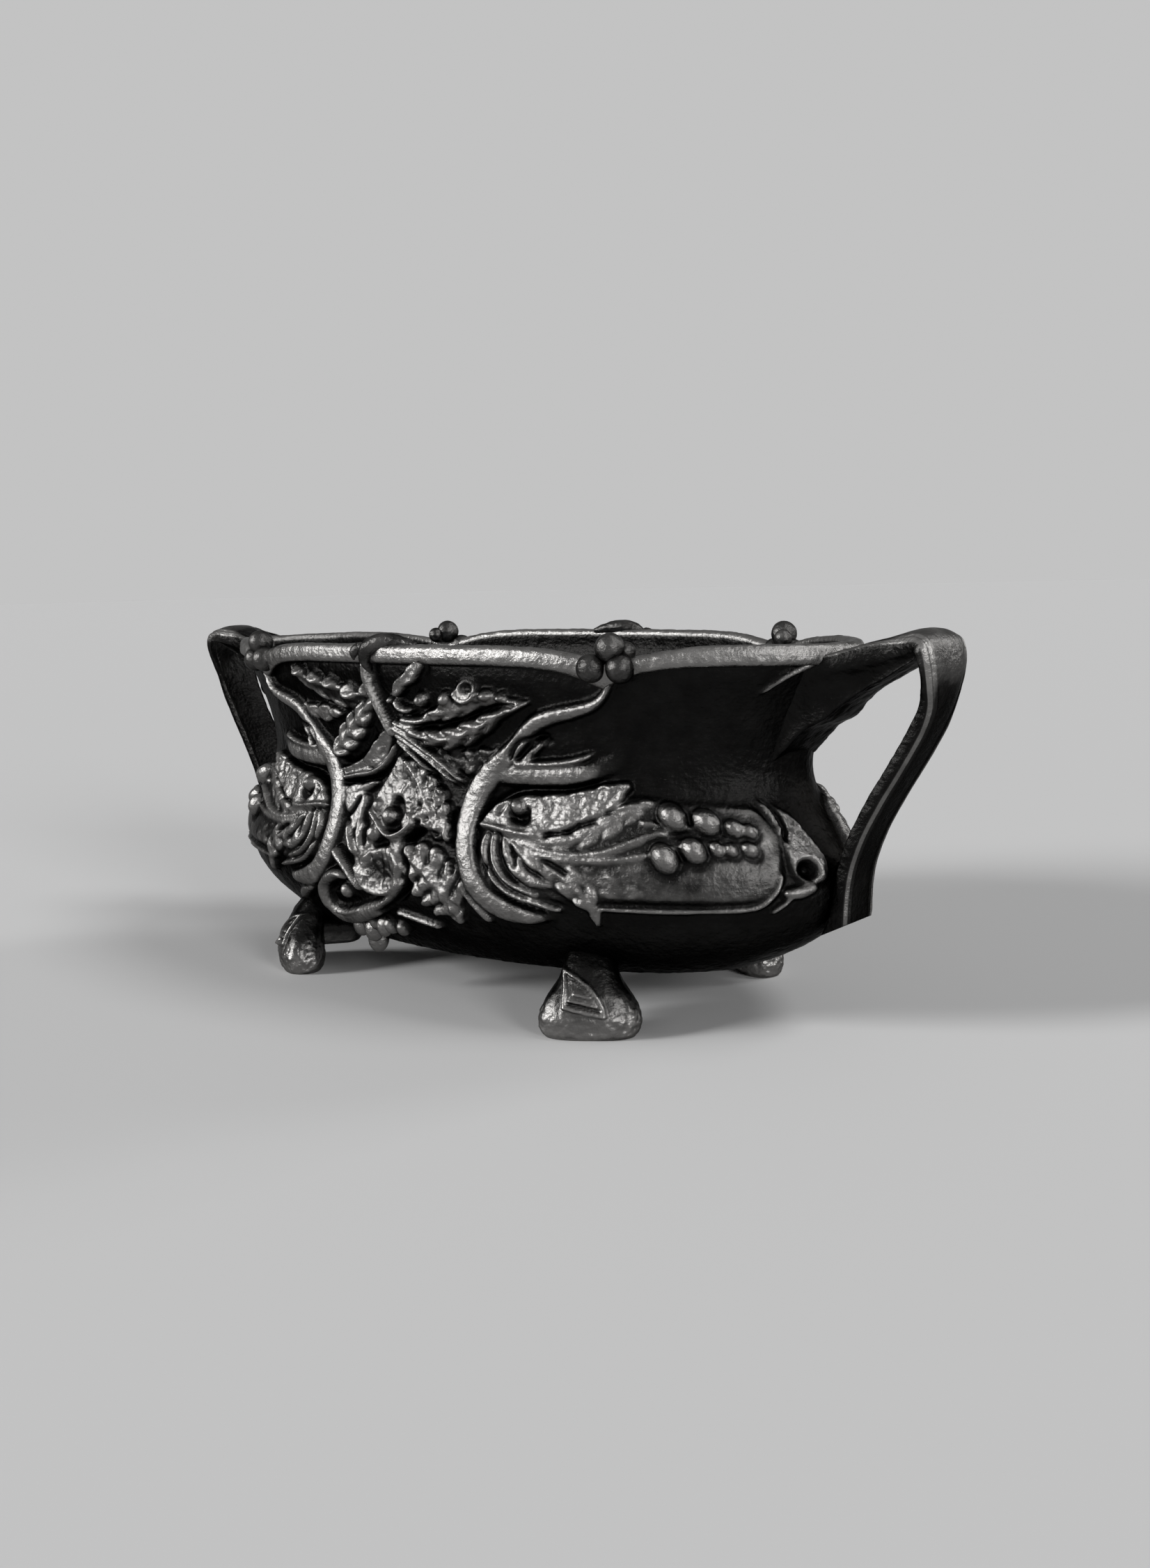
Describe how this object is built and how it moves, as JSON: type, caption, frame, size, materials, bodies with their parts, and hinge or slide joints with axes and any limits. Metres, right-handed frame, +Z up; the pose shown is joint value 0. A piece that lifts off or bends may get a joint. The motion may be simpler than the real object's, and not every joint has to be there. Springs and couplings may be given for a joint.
{
  "type": "planter",
  "caption": "Oval cast iron planter with a drawn-in neck, raised band, leaf and berry ornament, strap end handles, splayed feet and a lift-out liner with lifting rings.",
  "frame": {"origin": "middle of the planter's footprint, on the ground under its feet", "axes": "+X along the body to the right-hand handle, -Y to the pictured long side, +Z up"},
  "size_m": [0.545, 0.2162, 0.2035],
  "materials": {
    "bowl_iron": "black paint on rough sand-cast iron, semi-gloss, worn brown on the rim and berries",
    "handle_iron": "black paint on rough sand-cast iron, semi-gloss",
    "foot_iron": "black paint on pitted sand-cast iron, semi-gloss",
    "fastener_steel": "zinc-plated steel, dulled",
    "liner_steel": "galvanised sheet steel, faint spangle",
    "fitting_steel": "galvanised steel wire and strip"
  },
  "bodies": {
    "planter": {"bowl": "bowl_iron", "handle_left": "handle_iron", "handle_right": "handle_iron", "foot_front_left": "foot_iron", "foot_front_right": "foot_iron", "foot_back_left": "foot_iron", "foot_back_right": "foot_iron", "handle_screws": "fastener_steel", "handle_washers": "fastener_steel", "foot_bolts": "fastener_steel", "foot_washers": "fastener_steel"},
    "liner": {"liner": "liner_steel", "ring_clip_left": "fitting_steel", "ring_clip_right": "fitting_steel", "clip_rivets": "fitting_steel"},
    "ring_left": {"liner_ring_left": "fitting_steel"},
    "ring_right": {"liner_ring_right": "fitting_steel"}
  },
  "joints": [
    {"name": "liner_lift", "type": "slide", "parent": "planter", "child": "liner", "axis": [0, 0, 1], "range_m": [0, 0.15]},
    {"name": "ring_right_swing", "type": "hinge", "parent": "liner", "child": "ring_right", "pos_m": [0.169, 0, 0.15], "axis": [0, 1, 0], "range_deg": [0, 175]},
    {"name": "ring_left_swing", "type": "hinge", "parent": "liner", "child": "ring_left", "pos_m": [-0.169, 0, 0.15], "axis": [0, -1, 0], "range_deg": [0, 175]}
  ]
}
